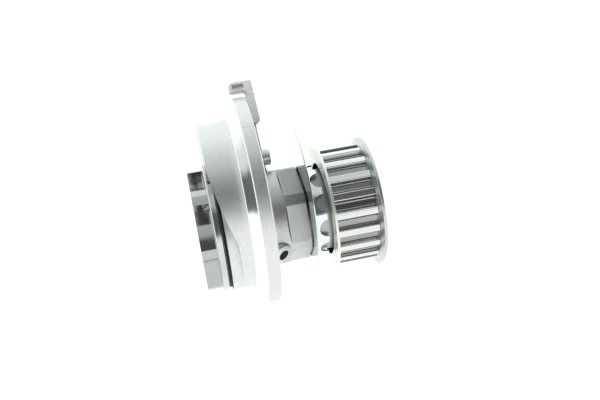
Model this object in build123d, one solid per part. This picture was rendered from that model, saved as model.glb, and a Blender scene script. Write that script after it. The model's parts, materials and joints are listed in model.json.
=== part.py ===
"""Toothed-pulley coolant pump for a small car engine, as an assembly of separate pieces.

Frame: millimetres, +X along the shaft towards the belt pulley, +Z up towards the stop lug.
The origin is on the pilot's axis, in the plane where the pilot meets its shoulder.
The shaft is parallel to the pilot but lies SHAFT_DROP below it, so turning the whole pump in
the engine block moves the pulley sideways and tightens the belt.
Angles round the shaft are measured from -Y towards -Z.
"""

import os
from math import cos, degrees, log, radians, sin, tan

from build123d import *

# ---- driving dimensions ---------------------------------------------------------------------
SHAFT_DROP = 10.5  # eccentricity: the shaft's axis lies this far below the pilot's

# housing, measured along X from the pilot's shoulder
PILOT_R = 43.5
PILOT_LENGTH = 3.0
SHOULDER_R = 47.3
SHOULDER_WIDTH = 1.2
FLANGE_R = 52.1
FLANGE_FRONT = 7.7
BODY_R = 41.7  # the cast drum behind the pilot
BODY_ROOT_R = 43.2  # its flared foot, just under the pilot's radius
DRUM_END = -9.1  # full-circle part of the drum
HOOD_END = -18.2  # the crescent that stands above the impeller
SCROLL_BOSS_R = 31.9  # shaft-centred boss behind the impeller
SCROLL_BOSS_END = -14.1
LABYRINTH_R = (26.8, 30.9)  # ring groove in the boss's face, for the impeller's skirt
LABYRINTH_END = -11.4
RAMP_FOOT = 27.9  # degrees round the pilot, where both of the hood's ramps run out into the drum
NEAR_RAMP_TOP = -28.8
FAR_RAMP_TOP = 2.7
RAMP_LEAN = 0.34  # the ramps' fall per millimetre towards the pilot's axis

NECK_ROOT_R = 24.0
NECK_R = 23.5
NECK_END = 27.7
FLATS_START = 17.3
FLATS_APOTHEM = 21.8  # at FLATS_START, 43 mm across flats at the far end
FLATS_DRAFT = 1.5  # degrees
FLATS_RUNOUT = 24.0  # degrees that the step at the start of a flat leans back
FLATS_PHASE = 12.4  # degrees
UNDERCUT_R = 21.2  # groove in front of the shield's seat
UNDERCUT_WIDTH = 0.6
SHIELD_SEAT_R = 21.95
SHIELD_SEAT_END = 30.5
NOSE_R = 20.6
NOSE_END = 47.0

# bearing and shaft
JOURNAL_R = 7.95
SHAFT_TAIL_R = 6.35
SHAFT_STEP = 3.6
SHAFT_TAIL_END = -26.0
SHAFT_FRONT_END = 61.2
SLEEVE_R = 15.0
SLEEVE_BORE_R = 12.3
SLEEVE_START = 8.4
SLEEVE_END = 47.3
BALL_R = 3.0
BALL_PITCH_R = 10.18
BALL_COUNT = 9
BALL_ROW_X = 18.5
RACE_R = 3.08  # section radius of the ball grooves
ROLLER_R = 2.15
ROLLER_PITCH_R = 10.125
ROLLER_COUNT = 12
ROLLER_LENGTH = 8.0
ROLLER_ROW_X = 36.0
CAGE_R = (8.5, 11.8)

# seal cartridge
SEAL_BORE_R = 18.2
SEAL_BORE_END = 1.0
DRAIN_R = 13.0
DRAIN_HOLE_R = 2.85
DRAIN_BOSS_R = 6.2
DRAIN_MOUTH_X = 12.35
DRAIN_MOUTH_R = 26.0
DRAIN_ANGLE = 46.1  # degrees round the shaft
DRAIN_TILT = 28.0  # degrees, towards the pulley
DRAIN_LENGTH = 17.5
SEAL_FACE = -13.35  # plane where the carbon ring runs on the seat

# dust shield
SHEET = 0.8
SHIELD_R = 39.3
SHIELD_RISE = 8.1  # its disc is centred this far above the shaft
COLLAR_END = 36.3
SCALLOP_COUNT = 11
SCALLOP_R = 4.6
SCALLOP_PHASE = -7.0

# belt pulley, 20 teeth at 9.525 mm pitch
TOOTH_COUNT = 20
TOOTH_TIP_R = 29.65
GROOVE_DEPTH = 2.67
GROOVE_FLOOR = 3.95
GROOVE_FLANK = 20.0  # degrees, each side
GROOVE_PHASE = 0.8  # degrees
TEETH_START = 39.5
TEETH_END = 60.06
PULLEY_CUP_R = 23.6
PULLEY_FLANGE_R = 32.9
REAR_SPIGOT_R = 24.6
FRONT_SPIGOT_R = 25.6
WEB_BACK = 54.5
WEB_FRONT = 58.6
HUB_R = 13.5
HUB_BACK = 50.0

# impeller
BLADE_COUNT = 7
BLADE_R = 30.1
BLADE_START = -26.5
BLADE_PHASE = -28.6  # degrees, centre of the first blade's tip
BLADE_LEAN = (35.0, 70.0)  # degrees from the radius, at the hub and at the tip
BLADE_THICKNESS = 1.65
PLATE_R = 31.4
PLATE_FRONT = -18.9
PLATE_BACK = -15.7
SKIRT_R = (27.4, 30.3)  # ring on the plate's back that runs in the boss's groove
SKIRT_END = -12.6
IMPELLER_HUB_R = 11.0
SEAT_POCKET_R = 15.9
SEAT_POCKET_END = -18.2


# ---- helpers --------------------------------------------------------------------------------
def on_shaft(shape):
    """Moves a shape made on the X axis down onto the shaft's axis."""
    return Pos(0, 0, -SHAFT_DROP) * shape


def drum(x0, x1, r_out, r_in=0.0):
    """A cylinder or tube along the X axis."""
    length = x1 - x0
    base = (Align.CENTER, Align.CENTER, Align.MIN)
    body = Cylinder(r_out, length, align=base)
    if r_in > 0:
        body -= Cylinder(r_in, length, align=base)
    return Pos(x0, 0, 0) * Rot(0, 90, 0) * body


def turned(points, rounds=()):
    """A solid of revolution about the X axis from a closed outline of (x, radius) points.

    rounds holds (x, radius, fillet radius) for each corner of the outline that is rounded.
    """
    face = make_face(Polyline(*points, close=True))
    for x, r, size in rounds:
        corner = [v for v in face.vertices() if abs(v.X - x) < 1e-3 and abs(v.Y - r) < 1e-3]
        face = fillet(corner, size)
    return revolve(face, Axis.X, 360)


def round_axis(angle, radius, x=0.0):
    """The point at this angle and radius round the X axis, angles running from -Y towards -Z."""
    a = radians(angle)
    return (x, -radius * cos(a), -radius * sin(a))


def ring_of(count, phase, make):
    """One piece per step of a full turn about the X axis; make(angle) gives each piece."""
    return [make(phase + 360.0 * k / count) for k in range(count)]


def turn_to(angle):
    """Turns a shape that points along -Y to this angle round the X axis."""
    return Rot(angle, 0, 0)


def edges_in_plane(shape, x, radius=None):
    """Circular edges of a shape in the plane X = x, of one radius if it is given."""
    found = [e for e in shape.edges().filter_by(GeomType.CIRCLE) if abs(e.center().X - x) < 1e-3]
    if radius is not None:
        found = [e for e in found if abs(e.radius - radius) < 1e-3]
    return found


# ---- housing --------------------------------------------------------------------------------
def drum_casting():
    """The drum behind the pilot, with its flared foot, before the hood is cut."""
    top = BODY_R - 0.3
    foot_x = -PILOT_LENGTH - 5.5
    outline = [
        (HOOD_END, 0),
        (HOOD_END, top),
        (foot_x, BODY_R),
        (foot_x + 3.2, BODY_R + 0.4),
        (-PILOT_LENGTH, BODY_ROOT_R),
        (-PILOT_LENGTH, 0),
    ]
    flare = 8.0
    rounds = [(HOOD_END, top, 1.0), (foot_x, BODY_R, flare), (foot_x + 3.2, BODY_R + 0.4, flare)]
    return turned(outline, rounds)


def ramp_cutter(top_angle):
    """What is cleared away on one side of the hood, down to a plane that falls to the drum's end."""
    reach = 60.0
    start = HOOD_END - 2
    top = Vector(*round_axis(top_angle, BODY_R, HOOD_END))
    foot = Vector(*round_axis(RAMP_FOOT, BODY_R, DRUM_END))
    inward = Vector(*round_axis(top_angle, -1.0, RAMP_LEAN))
    slope = Plane(origin=top, x_dir=inward, z_dir=inward.cross(foot - top))
    corners = [(top_angle, reach), (45.0, 2 * reach), (90.0, reach), (90.0, 0.0)]
    wedge = make_face(Polyline(*[round_axis(a, r, start) for a, r in corners], close=True))
    block = extrude(wedge, amount=DRUM_END - start, dir=(1, 0, 0))
    return split(block, bisect_by=slope, keep=Keep.TOP)


def rear_casting():
    """Drum, hood above the impeller and the boss behind it."""
    body = drum_casting() - ramp_cutter(NEAR_RAMP_TOP)
    body -= mirror(ramp_cutter(FAR_RAMP_TOP), about=Plane.XZ)
    body -= on_shaft(drum(HOOD_END - 1, SCROLL_BOSS_END, PLATE_R + 1.0))
    body += on_shaft(drum(SCROLL_BOSS_END, 0, SCROLL_BOSS_R))
    inner, outer = LABYRINTH_R
    return body - on_shaft(drum(SCROLL_BOSS_END - 1, LABYRINTH_END, outer, inner))


def flat_cutter(angle):
    """What is cleared away outside one wrench flat, which leans in towards the shield."""
    reach = 10.0
    length = NECK_END - FLATS_START
    corners = [
        (FLATS_START, -FLATS_APOTHEM),
        (NECK_END, -FLATS_APOTHEM + length * tan(radians(FLATS_DRAFT))),
        (NECK_END, -FLATS_APOTHEM - reach),
        (FLATS_START - reach * tan(radians(FLATS_RUNOUT)), -FLATS_APOTHEM - reach),
    ]
    section = make_face(Polyline(*[(x, y, 0) for x, y in corners], close=True))
    return turn_to(angle) * extrude(section, amount=20, both=True)


def neck():
    """Tapered neck with six wrench flats, the shield's seat and the nose that holds the bearing."""
    root = 1.6
    outline = [
        (FLANGE_FRONT - 1, 0),
        (FLANGE_FRONT - 1, NECK_ROOT_R + 2 * root),
        (FLANGE_FRONT, NECK_ROOT_R + 2 * root),
        (FLANGE_FRONT, NECK_ROOT_R),
        (NECK_END - UNDERCUT_WIDTH, NECK_R),
        (NECK_END - UNDERCUT_WIDTH, UNDERCUT_R),
        (NECK_END, UNDERCUT_R),
        (NECK_END, SHIELD_SEAT_R),
        (SHIELD_SEAT_END, SHIELD_SEAT_R),
        (SHIELD_SEAT_END, NOSE_R),
        (NOSE_END - 0.8, NOSE_R),
        (NOSE_END, NOSE_R - 0.8),
        (NOSE_END, 0),
    ]
    body = turned(outline, [(FLANGE_FRONT, NECK_ROOT_R, root)])
    for cut in ring_of(6, FLATS_PHASE, flat_cutter):
        body -= cut
    return body


def lug():
    """Stop lug: a bar up the flange's front face whose top hooks back over the rim."""
    half = 5.0
    back = FLANGE_FRONT - 0.5
    left, bar_left, front_top, front_low = 1.9, 10.1, 13.35, 14.55
    low, arm_low, top = 38.1, 55.1, 59.9
    corners = [
        (back, low, 0),
        (front_low, low, 1.6),
        (front_top, top, 1.3),
        (left + 0.1, top, 1.2),
        (left, arm_low, 1.2),
        (bar_left, arm_low, 1.6),
        (bar_left - 0.2, FLANGE_R - 0.5, 0),
        (back, FLANGE_R - 0.5, 0),
    ]
    face = make_face(Polyline(*[(x, 0, z) for x, z, size in corners], close=True))
    for x, z, size in corners:
        if size > 0:
            face = fillet([v for v in face.vertices() if abs(v.X - x) + abs(v.Z - z) < 1e-3], size)
    bar = Pos(0, half, 0) * extrude(face, amount=2 * half, dir=(0, -1, 0))
    sides = bar.faces().sort_by(Axis.Y)
    bar = fillet(sides[0].edges() + sides[-1].edges(), 0.5)
    pocket = fillet(Box(5.9, 2.5, 2.7).edges().filter_by(Axis.Y), 0.8)
    for side in (-1, 1):
        bar -= Pos(6.25, side * (half - 1.25), 57.35) * pocket
    return bar


def front_features():
    """Radial rib from the neck to the lug, and the round boss on it."""
    back = FLANGE_FRONT - 0.5
    profile = [(back, 9.0), (14.2, 9.0), (13.0, 16.0), (12.1, 41.0), (back, 41.0)]
    outline = Polyline(*[(x, 0, z) for x, z in profile], close=True)
    rib = Pos(0, 2.2, 0) * extrude(make_face(outline), amount=4.4, dir=(0, -1, 0))
    long_edges = [e for e in rib.edges() if abs(abs(e.center().Y) - 2.2) < 1e-3]
    rib = fillet([e for e in long_edges if 12 < e.center().X < 13.9], 0.8)
    boss = drum(back, 16.2, 4.15)
    boss = fillet(edges_in_plane(boss, 16.2), 0.7)
    return rib + Pos(0, 0, 20.4) * boss


def on_drain(shape):
    """Stands a shape on the drain's mouth, +Z out along the drain, which slants forward."""
    mouth = Vector(*round_axis(DRAIN_ANGLE, DRAIN_MOUTH_R, DRAIN_MOUTH_X))
    radial = Vector(*round_axis(DRAIN_ANGLE, 1.0))
    across = Vector(*round_axis(DRAIN_ANGLE + 90.0, 1.0))
    tilt = radians(DRAIN_TILT)
    direction = radial * cos(tilt) + Vector(1, 0, 0) * sin(tilt)
    return on_shaft(Plane(origin=mouth, x_dir=across, z_dir=direction) * shape)


def drain_boss():
    """Boss in the corner of neck and flange, square to the drain at its mouth, filled in below."""
    depth = 8.0
    lip = 1.6
    stub = Cylinder(DRAIN_BOSS_R, depth, align=(Align.CENTER, Align.CENTER, Align.MAX))
    stub = fillet(stub.edges().sort_by(Axis.Z)[-1], lip)
    reach = DRAIN_MOUTH_X - FLANGE_FRONT + DRAIN_BOSS_R
    foot = extrude(on_drain(Pos(0, 0, -lip) * Circle(DRAIN_BOSS_R)), amount=reach, dir=(-1, 0, 0))
    return on_drain(stub) + foot


def pump_housing():
    edge = 0.5
    rim = drum(SHOULDER_WIDTH, FLANGE_FRONT, FLANGE_R)
    rim = chamfer(edges_in_plane(rim, FLANGE_FRONT) + edges_in_plane(rim, SHOULDER_WIDTH), edge)
    shoulder = drum(0, SHOULDER_WIDTH, SHOULDER_R)
    pilot = drum(-PILOT_LENGTH, 0, PILOT_R)
    pilot = chamfer(edges_in_plane(pilot, -PILOT_LENGTH), 0.25)
    body = rim + shoulder + pilot + rear_casting() + on_shaft(neck())
    body += front_features() + lug() + drain_boss()
    body -= on_shaft(drum(SCROLL_BOSS_END - 6, SEAL_BORE_END, SEAL_BORE_R))
    body -= on_shaft(drum(SEAL_BORE_END, SLEEVE_START, DRAIN_R))
    body -= on_shaft(drum(SLEEVE_START, NOSE_END + 1, SLEEVE_R))
    body -= on_drain(Pos(0, 0, -DRAIN_LENGTH / 2 + 2) * Cylinder(DRAIN_HOLE_R, DRAIN_LENGTH))
    return body


# ---- dust shield ----------------------------------------------------------------------------
def dust_shield():
    """Pressed sheet disc, off-centre on a collar whose free edge is scalloped into fingers."""
    bend = 1.2
    outer = SHIELD_SEAT_R + SHEET
    disc = drum(NECK_END, NECK_END + SHEET, SHIELD_R)
    disc = fillet(edges_in_plane(disc, NECK_END) + edges_in_plane(disc, NECK_END + SHEET), 0.3)
    disc = Pos(0, 0, SHIELD_RISE) * disc
    outline = [
        (NECK_END, SHIELD_SEAT_R + 0.4),
        (NECK_END, outer + bend),
        (NECK_END + SHEET, outer + bend),
        (NECK_END + SHEET, outer),
        (COLLAR_END, outer),
        (COLLAR_END, SHIELD_SEAT_R),
        (NECK_END + 0.4, SHIELD_SEAT_R),
    ]
    collar = turned(outline, [(NECK_END + SHEET, outer, bend * 0.9)])
    body = (disc - drum(NECK_END - 1, NECK_END + SHEET + 1, outer + bend)) + collar
    punch = Pos(COLLAR_END, 0, 0) * Rot(90, 0, 0) * Cylinder(
        SCALLOP_R, 30, align=(Align.CENTER, Align.CENTER, Align.MIN)
    )
    for cut in ring_of(SCALLOP_COUNT, SCALLOP_PHASE, lambda a: turn_to(a) * punch):
        body -= cut
    return on_shaft(body)


# ---- bearing --------------------------------------------------------------------------------
def race(minor):
    """The torus that the balls sweep, with this section radius."""
    return Pos(BALL_ROW_X, 0, 0) * Rot(0, 90, 0) * Torus(BALL_PITCH_R, minor)


def bearing_sleeve():
    body = drum(SLEEVE_START, SLEEVE_END, SLEEVE_R, SLEEVE_BORE_R)
    outer = edges_in_plane(body, SLEEVE_START, SLEEVE_R) + edges_in_plane(body, SLEEVE_END, SLEEVE_R)
    body = chamfer(outer, 0.4)
    return on_shaft(body - race(RACE_R))


def bearing_seal(x0, lip_side):
    """Moulded lip seal between the sleeve and the shaft; lip_side is the way its lip leans."""
    x1 = x0 + 1.6
    lip = x1 if lip_side > 0 else x0
    outline = [
        (x0, SLEEVE_BORE_R),
        (x0, 9.2),
        (lip - 0.3, JOURNAL_R + 0.08),
        (lip + 0.3, JOURNAL_R + 0.08),
        (x1, 9.2),
        (x1, SLEEVE_BORE_R),
    ]
    return on_shaft(turned(outline))


def bearing_balls():
    ball = Sphere(BALL_R)
    spots = ring_of(BALL_COUNT, 0.0, lambda a: round_axis(a, BALL_PITCH_R, BALL_ROW_X))
    return on_shaft(Compound([Pos(*p) * ball for p in spots]))


def ball_cage():
    """Crown cage: a ring whose pockets are open on one side."""
    body = drum(BALL_ROW_X - 4.4, BALL_ROW_X + 1.6, CAGE_R[1], CAGE_R[0])
    pocket = Pos(BALL_ROW_X, -BALL_PITCH_R, 0) * Rot(90, 0, 0) * Sphere(BALL_R + 0.15)
    for cut in ring_of(BALL_COUNT, 0.0, lambda a: turn_to(a) * pocket):
        body -= cut
    return on_shaft(body)


def bearing_rollers():
    half = ROLLER_LENGTH / 2
    roller = drum(ROLLER_ROW_X - half, ROLLER_ROW_X + half, ROLLER_R)
    roller = chamfer(roller.edges().filter_by(GeomType.CIRCLE), 0.25)
    spots = ring_of(ROLLER_COUNT, 0.0, lambda a: round_axis(a, ROLLER_PITCH_R))
    return on_shaft(Compound([Pos(*p) * roller for p in spots]))


def roller_cage():
    half = ROLLER_LENGTH / 2
    body = drum(ROLLER_ROW_X - half - 1.6, ROLLER_ROW_X + half + 1.6, CAGE_R[1], CAGE_R[0])
    window = drum(ROLLER_ROW_X - half - 0.2, ROLLER_ROW_X + half + 0.2, ROLLER_R + 0.12)
    for spot in ring_of(ROLLER_COUNT, 0.0, lambda a: round_axis(a, ROLLER_PITCH_R)):
        body -= Pos(*spot) * window
    return on_shaft(body)


# ---- rotor ----------------------------------------------------------------------------------
def pump_shaft():
    """Bearing shaft with its ball groove, stepped down for the seal and the impeller."""
    outline = [
        (SHAFT_TAIL_END, 0),
        (SHAFT_TAIL_END, SHAFT_TAIL_R - 0.6),
        (SHAFT_TAIL_END + 0.6, SHAFT_TAIL_R),
        (SHAFT_STEP, SHAFT_TAIL_R),
        (SHAFT_STEP, JOURNAL_R - 0.4),
        (SHAFT_STEP + 0.4, JOURNAL_R),
        (SHAFT_FRONT_END - 0.7, JOURNAL_R),
        (SHAFT_FRONT_END, JOURNAL_R - 0.7),
        (SHAFT_FRONT_END, 1.6),
        (SHAFT_FRONT_END - 1.6, 0),
    ]
    return on_shaft(turned(outline) - race(RACE_R))


def groove_cutter(angle):
    """One belt groove with a rounded floor, at this angle."""
    flank = tan(radians(GROOVE_FLANK))
    floor_r = TOOTH_TIP_R - GROOVE_DEPTH
    over = 1.0
    half_floor = GROOVE_FLOOR / 2
    half_top = half_floor + (GROOVE_DEPTH + over) * flank
    section = Polyline(
        (TEETH_START - 1, -floor_r, -half_floor),
        (TEETH_START - 1, -floor_r, half_floor),
        (TEETH_START - 1, -floor_r - GROOVE_DEPTH - over, half_top),
        (TEETH_START - 1, -floor_r - GROOVE_DEPTH - over, -half_top),
        close=True,
    )
    face = make_face(section)
    floor = [v for v in face.vertices() if abs(v.Y + floor_r) < 1e-3]
    face = fillet(floor, 1.3)
    return turn_to(angle) * extrude(face, amount=TEETH_END - TEETH_START + 2, dir=(1, 0, 0))


def toothed_rim():
    """The pulley's toothed band, each land's edges rounded over."""
    band = drum(TEETH_START, TEETH_END, TOOTH_TIP_R, PULLEY_CUP_R)
    for cut in ring_of(TOOTH_COUNT, GROOVE_PHASE, groove_cutter):
        band -= cut
    tips = []
    for e in band.edges().filter_by(Axis.X):
        c = e.center()
        if abs((c.Y**2 + c.Z**2) ** 0.5 - TOOTH_TIP_R) < 0.01:
            tips.append(e)
    return fillet(tips, 0.5)


def belt_pulley():
    """Toothed rim, web and hub in one sintered piece, with a staked spigot at each end."""
    rear_spigot = drum(TEETH_START - 1.35, TEETH_START, REAR_SPIGOT_R, PULLEY_CUP_R)
    front_spigot = drum(TEETH_END, TEETH_END + 2.1, FRONT_SPIGOT_R, PULLEY_CUP_R)
    web = turned(
        [
            (WEB_BACK, PULLEY_CUP_R + 0.5),
            (WEB_BACK, HUB_R + 2.0),
            (WEB_BACK - 2.0, HUB_R),
            (HUB_BACK, HUB_R),
            (HUB_BACK, JOURNAL_R),
            (WEB_FRONT + 1.6, JOURNAL_R),
            (WEB_FRONT + 1.6, HUB_R - 1.0),
            (WEB_FRONT + 0.6, HUB_R),
            (WEB_FRONT, HUB_R),
            (WEB_FRONT, PULLEY_CUP_R + 0.5),
        ]
    )
    return on_shaft(toothed_rim() + rear_spigot + front_spigot + web)


def pulley_rear_flange():
    """Thin plated ring staked on the pulley's rear, its rim leaning away from the teeth."""
    bend_r = 29.4
    lean = 0.4
    thick = 1.2
    outline = [
        (TEETH_START, REAR_SPIGOT_R),
        (TEETH_START, bend_r),
        (TEETH_START - lean, PULLEY_FLANGE_R - 0.2),
        (TEETH_START - lean - 0.2, PULLEY_FLANGE_R),
        (TEETH_START - lean - thick + 0.2, PULLEY_FLANGE_R),
        (TEETH_START - lean - thick, PULLEY_FLANGE_R - 0.2),
        (TEETH_START - thick, bend_r),
        (TEETH_START - thick, REAR_SPIGOT_R),
    ]
    return on_shaft(turned(outline))


def pulley_front_flange():
    """Thicker ring on the pulley's front, with a flared face towards the belt."""
    root_r = 29.1
    flare = 1.35
    face_x = 62.95
    outline = [
        (TEETH_END, FRONT_SPIGOT_R),
        (TEETH_END, root_r),
        (TEETH_END + flare, PULLEY_FLANGE_R - 0.15),
        (TEETH_END + flare + 0.15, PULLEY_FLANGE_R),
        (face_x - 0.35, PULLEY_FLANGE_R),
        (face_x, PULLEY_FLANGE_R - 0.35),
        (face_x, root_r),
        (face_x - 0.9, root_r - 1.2),
        (face_x - 0.9, FRONT_SPIGOT_R),
    ]
    return on_shaft(turned(outline))


def blade_lean(radius):
    """How far a blade leans from the radius, in radians; it lies down towards the tip."""
    root, tip = BLADE_LEAN
    share = (radius - IMPELLER_HUB_R) / (BLADE_R - IMPELLER_HUB_R)
    return radians(root + (tip - root) * share)


def blade(angle):
    """One swept blade whose tip is centred at this angle; its root leads the tip."""
    over = 1.5
    stations = 11
    step = (BLADE_R + over - IMPELLER_HUB_R + 2.0) / (stations - 1)
    middle = radians(angle) + tan(blade_lean(BLADE_R)) * log(1 + over / BLADE_R)
    radius = BLADE_R + over
    near, far = [], []
    for _ in range(stations):
        half = BLADE_THICKNESS / 2 / cos(blade_lean(radius)) / radius
        near.append(round_axis(degrees(middle + half), radius, PLATE_FRONT + 0.5))
        far.append(round_axis(degrees(middle - half), radius, PLATE_FRONT + 0.5))
        middle -= tan(blade_lean(radius - step / 2)) * log(radius / (radius - step))
        radius -= step
    outline = [Spline(*near), Line(near[-1], far[-1]), Spline(*far), Line(far[0], near[0])]
    body = extrude(make_face(outline), amount=PLATE_FRONT + 0.5 - BLADE_START, dir=(-1, 0, 0))
    return body & drum(BLADE_START - 1, PLATE_FRONT + 1, BLADE_R)


def impeller():
    """Open impeller: back plate, hub and swept blades, with a pocket for the seal's seat."""
    plate = drum(PLATE_FRONT, PLATE_BACK, PLATE_R)
    plate = chamfer(edges_in_plane(plate, PLATE_FRONT) + edges_in_plane(plate, PLATE_BACK), 0.4)
    body = plate + drum(PLATE_BACK, SKIRT_END, SKIRT_R[1], SKIRT_R[0])
    for piece in ring_of(BLADE_COUNT, BLADE_PHASE, blade):
        body += piece
    roots = [
        e
        for e in body.edges()
        if all(abs(v.X - PLATE_FRONT) < 1e-3 for v in e.vertices())
        and 13.0 < (e.center().Y ** 2 + e.center().Z ** 2) ** 0.5 < BLADE_R - 1.5
    ]
    body = fillet(roots, 0.8)
    hub = turned(
        [
            (PLATE_FRONT, 0),
            (PLATE_FRONT, IMPELLER_HUB_R + 3.0),
            (PLATE_FRONT - 3.0, IMPELLER_HUB_R),
            (BLADE_START + 1.6, IMPELLER_HUB_R - 0.6),
            (BLADE_START + 1.0, IMPELLER_HUB_R - 1.2),
            (BLADE_START + 1.0, 0),
        ]
    )
    body += hub
    body -= drum(BLADE_START, PLATE_BACK + 1, SHAFT_TAIL_R)
    body -= drum(SEAT_POCKET_END, PLATE_BACK + 1, SEAT_POCKET_R)
    return on_shaft(body)


# ---- seal -----------------------------------------------------------------------------------
def seal_cup():
    """Pressed cup that carries the seal in the housing, with a lip on the boss's face."""
    wall = 0.8
    lip_r = SEAL_BORE_R + 2.0
    outline = [
        (SCROLL_BOSS_END - wall, SEAL_BORE_R - wall),
        (SCROLL_BOSS_END - wall, lip_r),
        (SCROLL_BOSS_END, lip_r),
        (SCROLL_BOSS_END, SEAL_BORE_R),
        (SEAL_BORE_END, SEAL_BORE_R),
        (SEAL_BORE_END, 9.6),
        (SEAL_BORE_END - wall, 9.6),
        (SEAL_BORE_END - wall, SEAL_BORE_R - wall),
    ]
    return on_shaft(turned(outline))


def seal_bellows():
    """Rubber bellows: a foot on the cup's floor, a folded sleeve and a seat for the carbon ring."""
    outline = [
        (0.2, 10.0),
        (0.2, 17.0),
        (-1.4, 17.0),
        (-1.4, 12.6),
        (-3.2, 12.6),
        (-4.4, 13.4),
        (-5.6, 12.6),
        (-8.2, 12.6),
        (-8.2, 15.4),
        (-11.6, 15.4),
        (-11.6, 14.6),
        (-9.4, 14.6),
        (-9.4, 11.2),
        (-5.2, 11.2),
        (-4.4, 12.0),
        (-3.6, 11.2),
        (-1.0, 11.2),
        (-1.0, 10.0),
    ]
    return on_shaft(turned(outline))


def seal_retainer():
    """Steel band round the bellows' head, which takes the spring's push."""
    outline = [
        (-7.6, 12.7),
        (-7.6, 16.9),
        (-8.2, 16.9),
        (-8.2, 16.1),
        (-11.4, 16.1),
        (-11.4, 15.5),
        (-8.2, 15.5),
        (-8.2, 12.7),
    ]
    return on_shaft(turned(outline))


def seal_spring():
    """Coil spring between the bellows' foot and the retainer."""
    wire = 0.5
    start, end = -7.6 + wire, -1.4 - wire
    coil_r = 15.2
    turns = 3.5
    path = Helix(pitch=(end - start) / turns, height=end - start, radius=coil_r)
    plane = Plane(origin=path @ 0, z_dir=path % 0)
    coil = sweep(plane * Circle(wire), path)
    return on_shaft(Pos(start, 0, 0) * Rot(0, 90, 0) * coil)


def seal_carbon_ring():
    outline = [
        (-9.4, 10.2),
        (-9.4, 14.6),
        (-12.4, 14.6),
        (-12.4, 13.2),
        (SEAL_FACE, 13.2),
        (SEAL_FACE, 11.0),
        (-12.4, 10.2),
    ]
    return on_shaft(turned(outline))


def seal_seat():
    """Ceramic ring that turns with the impeller against the carbon ring."""
    gap = 0.05
    back = SEAT_POCKET_END + 0.8
    face = SEAL_FACE - gap
    outline = [
        (back, 8.6),
        (back, 14.9),
        (face - 0.3, 14.9),
        (face, 14.6),
        (face, 9.0),
        (face - 0.4, 8.6),
    ]
    return on_shaft(turned(outline))


def seat_boot():
    """Rubber cup that seats the ceramic ring in the impeller's pocket."""
    back = SEAT_POCKET_END
    lip = -14.6
    outline = [
        (back, 8.6),
        (back, SEAT_POCKET_R),
        (lip, SEAT_POCKET_R),
        (lip, 14.9),
        (back + 0.8, 14.9),
        (back + 0.8, 8.6),
    ]
    return on_shaft(turned(outline))


def water_slinger():
    """Disc on the shaft that throws any leak outwards to the drain."""
    outline = [
        (2.6, SHAFT_TAIL_R),
        (2.6, 8.2),
        (3.4, 11.6),
        (4.2, 11.6),
        (3.6, 8.2),
        (SHAFT_STEP, SHAFT_TAIL_R),
    ]
    return on_shaft(turned(outline))


# ---- write the pieces -----------------------------------------------------------------------
PIECES = {
    "pump_housing": pump_housing,
    "dust_shield": dust_shield,
    "bearing_sleeve": bearing_sleeve,
    "rear_bearing_seal": lambda: bearing_seal(SLEEVE_START + 1.4, -1),
    "front_bearing_seal": lambda: bearing_seal(SLEEVE_END - 3.0, 1),
    "ball_cage": ball_cage,
    "bearing_balls": bearing_balls,
    "roller_cage": roller_cage,
    "bearing_rollers": bearing_rollers,
    "pump_shaft": pump_shaft,
    "belt_pulley": belt_pulley,
    "pulley_rear_flange": pulley_rear_flange,
    "pulley_front_flange": pulley_front_flange,
    "impeller": impeller,
    "seal_cup": seal_cup,
    "seal_bellows": seal_bellows,
    "seal_retainer": seal_retainer,
    "seal_spring": seal_spring,
    "seal_carbon_ring": seal_carbon_ring,
    "seal_seat": seal_seat,
    "seat_boot": seat_boot,
    "water_slinger": water_slinger,
}

os.makedirs("parts", exist_ok=True)
for name, make in PIECES.items():
    export_step(make(), f"parts/{name}.step")
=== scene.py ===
"""Looks for the coolant pump: materials, light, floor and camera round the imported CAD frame.

Everything is in metres in the CAD's frame: +X along the shaft towards the belt pulley, +Z up, the origin
on the pilot's axis at its shoulder. The shaft lies below the pilot's axis.
"""

import json
import math

import bpy
from mathutils import Matrix, Vector


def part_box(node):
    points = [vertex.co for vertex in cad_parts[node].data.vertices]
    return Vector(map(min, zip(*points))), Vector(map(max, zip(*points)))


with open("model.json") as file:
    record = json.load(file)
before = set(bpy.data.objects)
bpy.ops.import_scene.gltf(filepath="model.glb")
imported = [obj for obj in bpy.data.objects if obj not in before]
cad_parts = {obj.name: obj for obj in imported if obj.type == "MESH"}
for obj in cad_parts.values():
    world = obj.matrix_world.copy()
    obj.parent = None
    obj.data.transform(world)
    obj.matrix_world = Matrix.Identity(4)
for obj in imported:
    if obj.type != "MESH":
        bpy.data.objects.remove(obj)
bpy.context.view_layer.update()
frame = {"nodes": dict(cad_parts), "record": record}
NODES = frame["nodes"]
RECORD = frame["record"]
MOUNTS = {m["name"]: m for m in RECORD["mounts"]}

# ---- places on the pump ---------------------------------------------------------------------
MM = 0.001
HARD = 0.1 * MM  # width of a sharp edge between two looks on one piece

SHAFT_DROP = -RECORD["behaviour"]["joints"][0]["pos_m"][2]
HOUSING_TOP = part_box("pump_housing")[1][2]

# along X
PLATE_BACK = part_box("impeller")[1][0] - 3.1 * MM  # the impeller's skirt reaches past its plate
PILOT_END = -3.0 * MM
SEAT_X = MOUNTS["flange_seat"]["pos_m"][0]
FLANGE_FRONT = MOUNTS["flange_rim"]["pos_m"][0] + 3.5 * MM
FLATS_START = MOUNTS["wrench_flat_near"]["pos_m"][0] - 4.5 * MM
SHIELD_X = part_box("dust_shield")[0][0]
GROOVE_X = SHIELD_X - 0.6 * MM  # start of the groove that runs round the neck up to the dust shield
TRACK = (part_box("pulley_rear_flange")[1][0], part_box("pulley_front_flange")[0][0])

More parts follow.
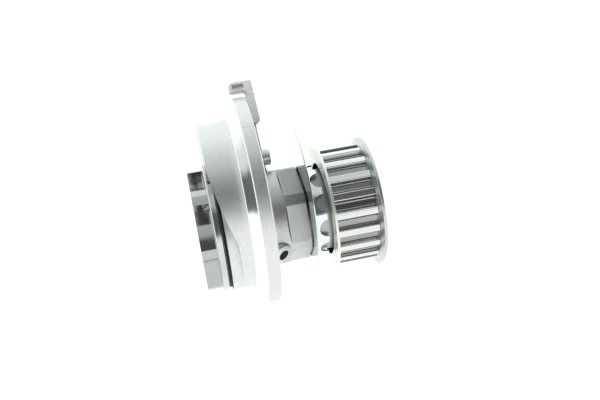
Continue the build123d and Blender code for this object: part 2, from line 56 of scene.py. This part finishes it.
# round the pilot's axis
PILOT_R = MOUNTS["pilot"]["dims"]["r_mm"] * MM
FLANGE_R = MOUNTS["flange_rim"]["dims"]["r_mm"] * MM

# round the shaft
GROOVE_R = 21.2 * MM
NECK_R = 23.5 * MM
BOSS_R = 31.9 * MM  # the boss behind the impeller
PLATE_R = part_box("impeller")[1][1]
TOOTH_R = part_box("belt_pulley")[1][1]

# along Z
LUG_LOW = HOUSING_TOP - 25.5 * MM  # where the stop lug starts to stand out from the flange
PARTING_Z = (FLANGE_R * 0.636, HOUSING_TOP - 7.4 * MM)  # one line on the rim, one on the lug


# ---- node helpers ---------------------------------------------------------------------------
class NodeTree:
    """Shorthand for the nodes of a material or a world."""

    def __init__(self, owner):
        owner.use_nodes = True
        self.tree = owner.node_tree
        self.tree.nodes.clear()

    def add(self, kind, **settings):
        node = self.tree.nodes.new(kind)
        for key, value in settings.items():
            setattr(node, key, value)
        return node

    def link(self, a, b):
        self.tree.links.new(a, b)

    def feed(self, socket, value):
        """Sets a socket to a value, or links it to another node's output."""
        if isinstance(value, bpy.types.NodeSocket):
            self.link(value, socket)
        else:
            socket.default_value = value

    def calc(self, operation, a, b=0.0):
        node = self.add("ShaderNodeMath", operation=operation)
        self.feed(node.inputs[0], a)
        self.feed(node.inputs[1], b)
        return node.outputs[0]

    def times(self, a, b):
        return self.calc("MULTIPLY", a, b)

    def length(self, a, b):
        """Length of a line from the origin to (a, b)."""
        return self.calc("SQRT", self.calc("ADD", self.times(a, a), self.times(b, b)))

    def xyz(self, vector):
        node = self.add("ShaderNodeSeparateXYZ")
        self.link(vector, node.inputs[0])
        return node.outputs

    def ramp(self, value, low, high, to_low=0.0, to_high=1.0):
        """Goes smoothly from to_low to to_high while the value goes from low to high."""
        node = self.add("ShaderNodeMapRange", interpolation_type="SMOOTHSTEP")
        self.feed(node.inputs["Value"], value)
        for key, v in (("From Min", low), ("From Max", high), ("To Min", to_low), ("To Max", to_high)):
            node.inputs[key].default_value = v
        return node.outputs[0]

    def fall(self, value, low, high):
        """1 up to low, 0 from high on."""
        return self.ramp(value, low, high, 1.0, 0.0)

    def band(self, value, low, high, soft=HARD):
        """1 between low and high, 0 outside, over a soft edge."""
        return self.times(self.ramp(value, low - soft, low), self.fall(value, high, high + soft))


class Shader(NodeTree):
    """A material with one Principled shader, in object coordinates."""

    def __init__(self, name):
        self.material = bpy.data.materials.new(name)
        super().__init__(self.material)
        output = self.add("ShaderNodeOutputMaterial")
        self.bsdf = self.add("ShaderNodeBsdfPrincipled")
        self.link(self.bsdf.outputs["BSDF"], output.inputs["Surface"])
        self.place = self.add("ShaderNodeTexCoord").outputs["Object"]
        self.x, self.y, self.z = self.xyz(self.place)

    def stretched(self, scale):
        """Object coordinates, each axis scaled on its own."""
        node = self.add("ShaderNodeMapping")
        self.link(self.place, node.inputs["Vector"])
        node.inputs["Scale"].default_value = scale
        return node.outputs[0]

    def noise(self, scale, detail, roughness=0.6, vector=None):
        node = self.add("ShaderNodeTexNoise")
        self.link(vector or self.place, node.inputs["Vector"])
        node.inputs["Scale"].default_value = scale
        node.inputs["Detail"].default_value = detail
        node.inputs["Roughness"].default_value = roughness
        return node.outputs["Fac"]

    def mix(self, factor, a, b):
        """A colour that goes from a to b."""
        node = self.add("ShaderNodeMix", data_type="RGBA")
        self.feed(node.inputs[0], factor)
        for socket, value in ((node.inputs[6], a), (node.inputs[7], b)):
            self.feed(socket, value if isinstance(value, bpy.types.NodeSocket) else (*value, 1.0))
        return node.outputs[2]

    def blend(self, factor, a, b):
        """A number that goes from a to b."""
        node = self.add("ShaderNodeMix", data_type="FLOAT")
        self.feed(node.inputs[0], factor)
        self.feed(node.inputs[2], a)
        self.feed(node.inputs[3], b)
        return node.outputs[0]

    def radius(self, drop=0.0):
        """Distance from the line along X that lies drop below the pilot's axis."""
        return self.length(self.y, self.calc("ADD", self.z, drop))

    def bump(self, height, distance, strength, after=None):
        node = self.add("ShaderNodeBump")
        self.feed(node.inputs["Height"], height)
        node.inputs["Distance"].default_value = distance
        self.feed(node.inputs["Strength"], strength)
        if after is not None:
            self.link(after, node.inputs["Normal"])
        return node.outputs[0]

    def finish(self, color, roughness, metallic, normal=None):
        self.link(color, self.bsdf.inputs["Base Color"])
        self.feed(self.bsdf.inputs["Roughness"], roughness)
        self.feed(self.bsdf.inputs["Metallic"], metallic)
        if normal is not None:
            self.link(normal, self.bsdf.inputs["Normal"])
        return self.material


# ---- materials of the visible pieces --------------------------------------------------------
def painted_corner_shade(s, from_shaft):
    """Painted shade in the casting's corners: the starts of the flats, the groove by the shield, behind the
    impeller.
    """
    on_neck = s.fall(from_shaft, NECK_R + 0.05 * MM, NECK_R + 0.2 * MM)
    steps = s.times(s.band(s.x, FLATS_START - 1.3 * MM, FLATS_START - 0.1 * MM), on_neck)
    in_groove = s.fall(from_shaft, GROOVE_R + 0.1 * MM, GROOVE_R + 0.3 * MM)
    groove = s.times(s.band(s.x, GROOVE_X, SHIELD_X), in_groove)
    groove = s.times(groove, s.ramp(s.z, -26.0 * MM, -8.0 * MM, 0.3, 1.0))  # fainter low down
    on_boss = s.fall(from_shaft, BOSS_R - 0.3 * MM, BOSS_R - 0.1 * MM)
    behind = s.times(s.band(s.x, PLATE_BACK, PLATE_BACK + 4.5 * MM), on_boss)
    corners = s.calc("MAXIMUM", s.times(steps, 0.85), s.times(groove, 0.8))
    return s.calc("MAXIMUM", corners, behind)


def neck_shade(s, from_shaft):
    """Painted shade: the neck is darker than the flange, most of all on its upper side by the flats."""
    by_shaft = s.fall(from_shaft, 26.2 * MM, 27.5 * MM)
    neck = s.times(s.ramp(s.x, FLANGE_FRONT + 0.5 * MM, FLANGE_FRONT + 4.3 * MM), 0.32)
    by_flats = s.ramp(s.x, FLATS_START - 4.0 * MM, FLATS_START + 1.5 * MM)
    upper = s.times(by_flats, s.ramp(s.z, -12.0 * MM, -1.0 * MM, 0.0, 0.75))
    return s.times(s.calc("MAXIMUM", neck, upper), by_shaft)


def parting_lines(s, from_pilot):
    """Faint lines across the flange's rim and the lug, where the halves of the die met."""
    on_rim = s.ramp(from_pilot, FLANGE_R - 0.4 * MM, FLANGE_R - 0.2 * MM)
    lines = [s.band(s.z, place, place + HARD) for place in PARTING_Z]
    return s.times(s.calc("MAXIMUM", *lines), on_rim)


def lug_mask(s, from_pilot):
    """1 on the stop lug, in front of the flange or beyond its rim."""
    in_front = s.ramp(s.x, FLANGE_FRONT + 0.2 * MM, FLANGE_FRONT + 0.4 * MM)
    in_front = s.times(s.ramp(s.z, LUG_LOW, LUG_LOW + 2.0 * MM), in_front)
    beyond = s.ramp(from_pilot, FLANGE_R + 0.2 * MM, FLANGE_R + 0.5 * MM)
    return s.calc("MAXIMUM", in_front, beyond)


def cast_aluminium():
    """Sandy die casting, turned bright on the pilot and its shoulder, with painted shade on its neck and in
    its corners.
    """
    sandy_dark, sandy_light = (0.64, 0.645, 0.64), (0.78, 0.785, 0.78)
    speck, shaded, turned_bright = (0.52, 0.52, 0.51), (0.24, 0.245, 0.24), (0.90, 0.91, 0.92)
    line, corner_shade = (0.25, 0.25, 0.25), (0.03, 0.03, 0.03)
    rough_lug, rough_turned = 0.8, 0.16
    s = Shader("cast_aluminium")
    from_shaft = s.radius(SHAFT_DROP)
    from_pilot = s.radius()
    on_pilot = s.ramp(from_pilot, PILOT_R - 0.3 * MM, PILOT_R - 0.2 * MM)
    machined = s.times(s.band(s.x, PILOT_END, SEAT_X + 0.1 * MM, 0.08 * MM), on_pilot)
    grain = s.noise(1900.0, 3.0, 0.65)
    coarse = s.noise(700.0, 3.0)
    off_specks = s.ramp(s.noise(1500.0, 1.0, 0.4), 0.22, 0.28)
    color = s.mix(s.ramp(grain, 0.3, 0.7), sandy_dark, sandy_light)
    color = s.mix(off_specks, speck, color)
    # painted shade on the neck, darkest above by the flats
    color = s.mix(neck_shade(s, from_shaft), color, shaded)
    color = s.mix(s.times(parting_lines(s, from_pilot), 0.5), color, line)
    color = s.mix(machined, color, turned_bright)
    # painted shade: the corners of the casting go near black
    color = s.mix(painted_corner_shade(s, from_shaft), color, corner_shade)
    rough = s.ramp(coarse, 0.3, 0.7, 0.40, 0.48)
    rough = s.blend(lug_mask(s, from_pilot), rough, rough_lug)
    rough = s.blend(machined, rough, rough_turned)
    height = s.calc("ADD", s.times(grain, 0.6), s.times(coarse, 0.5))
    normal = s.bump(height, 0.1 * MM, s.times(s.calc("SUBTRACT", 1.0, machined), 0.5))
    lay = s.noise(1.0, 2.0, 0.5, s.stretched((9000.0, 30.0, 30.0)))
    normal = s.bump(lay, 0.004 * MM, machined, after=normal)
    return s.finish(color, rough, 1.0, normal)


def pulley_steel():
    """Sintered steel, worn bright on the tips of the teeth and brown with dust in the grooves."""
    steel_dark, steel_light = (0.44, 0.44, 0.43), (0.68, 0.68, 0.67)
    dusty, worn_bright = (0.13, 0.12, 0.11), (0.74, 0.75, 0.75)
    s = Shader("pulley_steel")
    r = s.radius(SHAFT_DROP)
    streaks = s.noise(1.0, 4.0, 0.6, s.stretched((25.0, 2200.0, 2200.0)))
    patches = s.noise(260.0, 4.0)
    below_tips = s.fall(r, TOOTH_R - 1.7 * MM, TOOTH_R - 0.6 * MM)
    above_cup = s.ramp(r, TOOTH_R - 3.5 * MM, TOOTH_R - 3.2 * MM, 0.0, 0.5)
    dust = s.times(s.times(s.band(s.x, *TRACK), below_tips), above_cup)
    on_tips = s.ramp(r, TOOTH_R - 0.5 * MM, TOOTH_R - 0.3 * MM)
    worn = s.times(on_tips, s.ramp(streaks, 0.25, 0.6, 0.5, 1.0))
    color = s.mix(s.ramp(streaks, 0.3, 0.7), steel_dark, steel_light)
    color = s.mix(dust, color, dusty)
    color = s.mix(worn, color, worn_bright)
    rough = s.calc("ADD", s.ramp(streaks, 0.3, 0.7, 0.12, 0.20), s.ramp(patches, 0.35, 0.7, 0.0, 0.04))
    return s.finish(color, rough, 1.0, s.bump(streaks, 0.01 * MM, 0.7))


def plating(s):
    """The slow cloud and the fine grain of a plated surface."""
    return s.noise(120.0, 5.0), s.noise(1800.0, 3.0)


def zinc_sheet():
    """Bright zinc plate. The shield disc's rear face has a painted dark reflection of the neck, with its
    shadow, round the neck, and is bluish at its lower edge.
    """
    zinc_dark, zinc_light = (0.70, 0.76, 0.78), (0.76, 0.82, 0.84)
    neck_reflection_dark, bluish = (0.08, 0.09, 0.09), (0.44, 0.52, 0.54)
    s = Shader("zinc_sheet")
    cloud, fine = plating(s)
    rear = s.fall(s.x, SHIELD_X + 0.2 * MM, SHIELD_X + 0.4 * MM)
    neck_reflection_mask = s.times(s.ramp(s.z, -31.0 * MM, -12.0 * MM), s.fall(s.z, 8.0 * MM, 18.0 * MM))
    neck_reflection_mask = s.times(neck_reflection_mask, s.ramp(s.radius(SHAFT_DROP), NECK_R, 36.0 * MM, 1.0, 0.6))
    low = s.ramp(s.z, -40.0 * MM, -30.0 * MM, 0.8, 0.0)
    color = s.mix(s.ramp(cloud, 0.3, 0.7), zinc_dark, zinc_light)
    # painted reflection of the neck, with its shadow, on the rear face of the shield's disc
    color = s.mix(s.times(rear, neck_reflection_mask), color, neck_reflection_dark)
    color = s.mix(s.times(rear, low), color, bluish)
    rough = s.ramp(cloud, 0.3, 0.7, 0.06, 0.085)
    return s.finish(color, rough, 1.0, s.bump(fine, 0.004 * MM, 0.5))


def yellow_zinc():
    """Pale yellow zinc plate with a slightly cloudy gloss."""
    pale_dark, pale_light = (0.88, 0.86, 0.79), (0.92, 0.90, 0.84)
    s = Shader("yellow_zinc")
    cloud, fine = plating(s)
    color = s.mix(s.ramp(cloud, 0.3, 0.7), pale_dark, pale_light)
    rough = s.calc("ADD", s.ramp(cloud, 0.3, 0.7, 0.255, 0.36), s.ramp(fine, 0.4, 0.7, 0.0, 0.03))
    return s.finish(color, rough, 0.85, s.bump(fine, 0.004 * MM, 0.5))


def impeller_metal():
    """Plated impeller, brightest on the edge of its plate, with painted shade, near black, on its back close
    to the housing.
    """
    edge_dark, edge_light = (0.54, 0.55, 0.55), (0.62, 0.63, 0.63)
    duller, back = (0.34, 0.345, 0.345), (0.012, 0.012, 0.013)
    rough_back = 0.7
    s = Shader("impeller_metal")
    cloud, fine = plating(s)
    behind = s.ramp(s.x, PLATE_BACK, PLATE_BACK + 0.3 * MM)
    inside = s.fall(s.radius(SHAFT_DROP), PLATE_R - 0.6 * MM, PLATE_R - 0.3 * MM)
    color = s.mix(s.ramp(cloud, 0.3, 0.7), edge_dark, edge_light)
    color = s.mix(s.times(inside, 0.6), color, duller)
    # painted shade: the plate's back goes near black and matte, as a shadowed gap by the housing
    color = s.mix(behind, color, back)
    rough = s.blend(behind, s.ramp(cloud, 0.3, 0.7, 0.17, 0.23), rough_back)
    metallic = s.calc("SUBTRACT", 1.0, behind)
    return s.finish(color, rough, metallic, s.bump(fine, 0.01 * MM, 0.5))


def turned(name, dark, light, rough, depth=0.01 * MM):
    """Lathe-turned metal: a fine circular lay round the shaft."""
    s = Shader(name)
    section = s.add("ShaderNodeCombineXYZ")
    s.link(s.radius(SHAFT_DROP), section.inputs[0])
    s.link(s.x, section.inputs[1])
    lay = s.noise(4200.0, 3.0, 0.6, section.outputs[0])
    patches = s.noise(180.0, 4.0)
    color = s.mix(s.ramp(patches, 0.35, 0.7), dark, light)
    roughness = s.ramp(lay, 0.3, 0.7, rough * 0.8, rough * 1.25)
    return s.finish(color, roughness, 1.0, s.bump(lay, depth, 0.8))


def turned_steel():
    """The bare metal of the pulley's front flange ring."""
    return turned("turned_steel", (0.54, 0.55, 0.56), (0.64, 0.65, 0.66), 0.32)


# ---- materials of the pieces inside ---------------------------------------------------------
def dull(name, dark, light, rough, metallic=0.0, scale=700.0, depth=0.02 * MM):
    """Plastic, rubber, carbon, ceramic or drawn wire: fine grain with soft patches."""
    s = Shader(name)
    grain = s.noise(scale, 4.0)
    patches = s.noise(150.0, 4.0)
    color = s.mix(s.ramp(patches, 0.35, 0.7), dark, light)
    roughness = s.ramp(grain, 0.3, 0.7, rough * 0.9, rough * 1.1)
    return s.finish(color, roughness, metallic, s.bump(grain, depth, 0.6))


def ground_steel():
    return turned("ground_steel", (0.60, 0.61, 0.63), (0.68, 0.69, 0.71), 0.18)


def bearing_steel():
    return turned("bearing_steel", (0.70, 0.71, 0.73), (0.76, 0.77, 0.79), 0.08, depth=0.002 * MM)


def cage_plastic():
    return dull("cage_plastic", (0.50, 0.43, 0.27), (0.60, 0.53, 0.36), 0.5)


def seal_rubber():
    return dull("seal_rubber", (0.018, 0.018, 0.02), (0.035, 0.035, 0.037), 0.6)


def cup_brass():
    return turned("cup_brass", (0.70, 0.55, 0.28), (0.80, 0.66, 0.36), 0.2)


def spring_steel():
    return dull("spring_steel", (0.52, 0.52, 0.53), (0.62, 0.62, 0.63), 0.28, metallic=1.0)


def carbon():
    return dull("carbon", (0.03, 0.03, 0.032), (0.055, 0.055, 0.058), 0.4)


def seat_ceramic():
    return dull("seat_ceramic", (0.78, 0.76, 0.71), (0.86, 0.84, 0.79), 0.25, scale=1500.0, depth=0.005 * MM)


def dress_the_pump():
    """Gives each CAD node the material of its slot in the record."""
    materials = {
        "cast_aluminium": cast_aluminium(),
        "pulley_steel": pulley_steel(),
        "turned_steel": turned_steel(),
        "zinc_sheet": zinc_sheet(),
        "yellow_zinc": yellow_zinc(),
        "impeller_metal": impeller_metal(),
        "ground_steel": ground_steel(),
        "bearing_steel": bearing_steel(),
        "cage_plastic": cage_plastic(),
        "seal_rubber": seal_rubber(),
        "cup_brass": cup_brass(),
        "spring_steel": spring_steel(),
        "carbon": carbon(),
        "seat_ceramic": seat_ceramic(),
    }
    for part in RECORD["subparts"]:
        mesh = NODES[part["node"]].data
        mesh.materials.clear()
        mesh.materials.append(materials[part["material_slot"]])


# ---- floor, light and camera ----------------------------------------------------------------
def floor_paint():
    """Pale paint that glows a little, so that the floor stays white in the pump's shadow."""
    s = Shader("floor_paint")
    color = s.mix(s.noise(40.0, 3.0, 0.5), (0.93, 0.92, 0.92), (0.95, 0.94, 0.94))
    s.bsdf.inputs["Emission Color"].default_value = (1.0, 0.98, 0.98, 1.0)
    s.bsdf.inputs["Emission Strength"].default_value = 0.3
    return s.finish(color, 0.8, 0.0)


def pale_floor():
    """A wide pale disc, well below the pump."""
    height, reach, rings, sides = -0.16, 0.56, 4, 64
    verts = [(0.0, 0.0, height)]
    for k in range(1, rings + 1):
        r = reach * k / rings
        for j in range(sides):
            angle = 2 * math.pi * j / sides
            verts.append((r * math.cos(angle), r * math.sin(angle), height))
    faces = [(0, 1 + j, 1 + (j + 1) % sides) for j in range(sides)]
    for k in range(rings - 1):
        a, b = 1 + k * sides, 1 + (k + 1) * sides
        for j in range(sides):
            n = (j + 1) % sides
            faces.append((a + j, b + j, b + n, a + n))
    mesh = bpy.data.meshes.new("floor")
    mesh.from_pydata(verts, [], faces)
    mesh.materials.append(floor_paint())
    obj = bpy.data.objects.new("floor", mesh)
    bpy.context.scene.collection.objects.link(obj)


def studio_world():
    """Bright all round, with one dim patch in front, as a photographer's black card leaves it."""
    room_level, ceiling_loss, dim_share, backdrop_level = 1.35, 0.55, 0.10, 1.1
    world = bpy.data.worlds.new("studio")
    bpy.context.scene.world = world
    w = NodeTree(world)
    output = w.add("ShaderNodeOutputWorld")
    x, y, z = w.xyz(w.add("ShaderNodeTexCoord").outputs["Generated"])

    facing = w.calc("DIVIDE", w.times(y, -1.0), w.length(x, y))
    front = w.ramp(facing, 0.35, 0.85)
    card = w.times(front, w.times(w.ramp(z, -0.40, -0.16), w.fall(z, 0.40, 0.76)))
    ceiling = w.times(w.ramp(z, 0.3, 0.65, 0.0, ceiling_loss), w.fall(y, -0.55, 0.25))
    lit = w.calc("SUBTRACT", room_level, ceiling)

    room = w.add("ShaderNodeBackground")
    room.inputs["Color"].default_value = (0.94, 1.0, 0.97, 1.0)
    w.link(w.times(lit, w.ramp(card, 0.0, 1.0, 1.0, dim_share)), room.inputs["Strength"])
    backdrop = w.add("ShaderNodeBackground")
    backdrop.inputs["Color"].default_value = (1.0, 1.0, 1.0, 1.0)
    backdrop.inputs["Strength"].default_value = backdrop_level
    seen = w.add("ShaderNodeLightPath").outputs["Is Camera Ray"]
    mix = w.add("ShaderNodeMixShader")
    w.link(seen, mix.inputs[0])
    w.link(room.outputs[0], mix.inputs[1])
    w.link(backdrop.outputs[0], mix.inputs[2])
    w.link(mix.outputs[0], output.inputs[0])


def lug_lamp():
    """A soft narrow lamp high on the left that lifts the lug's near side."""
    lug = Vector((FLANGE_FRONT + 0.3 * MM, -5.0 * MM, HOUSING_TOP - 2.9 * MM))
    place = lug + Vector((-0.05, -0.45, 0.25))
    data = bpy.data.lights.new("lug_lamp", "SPOT")
    data.energy = 4.5
    data.spot_size = math.radians(5.5)
    data.spot_blend = 1.0
    data.shadow_soft_size = 0.012
    obj = bpy.data.objects.new("lug_lamp", data)
    bpy.context.scene.collection.objects.link(obj)
    turn = (lug - place).to_track_quat("-Z", "Y").to_matrix().to_4x4()
    obj.matrix_world = Matrix.Translation(place) @ turn


def camera():
    """Level camera, turned a little towards the impeller's side and rolled so that the shaft rises."""
    lens, distance = 48.0, 0.409
    turn, roll = math.radians(7.7), math.radians(10.5)
    aim = Vector((0.0275, 0.0, -0.0042))
    look = Vector((math.sin(turn), math.cos(turn), 0.0))
    level = Vector((math.cos(turn), -math.sin(turn), 0.0))
    up_world = Vector((0.0, 0.0, 1.0))
    right = level * math.cos(roll) - up_world * math.sin(roll)
    up = level * math.sin(roll) + up_world * math.cos(roll)
    data = bpy.data.cameras.new("camera")
    data.sensor_width = 36.0
    data.lens = lens
    data.clip_start = 0.01
    data.clip_end = 50.0
    obj = bpy.data.objects.new("camera", data)
    bpy.context.scene.collection.objects.link(obj)
    basis = Matrix((right, up, -look)).transposed().to_4x4()
    basis.translation = aim - look * distance
    obj.matrix_world = basis
    bpy.context.scene.camera = obj


dress_the_pump()
pale_floor()
studio_world()
lug_lamp()
camera()
bpy.context.scene.view_settings.view_transform = "Standard"
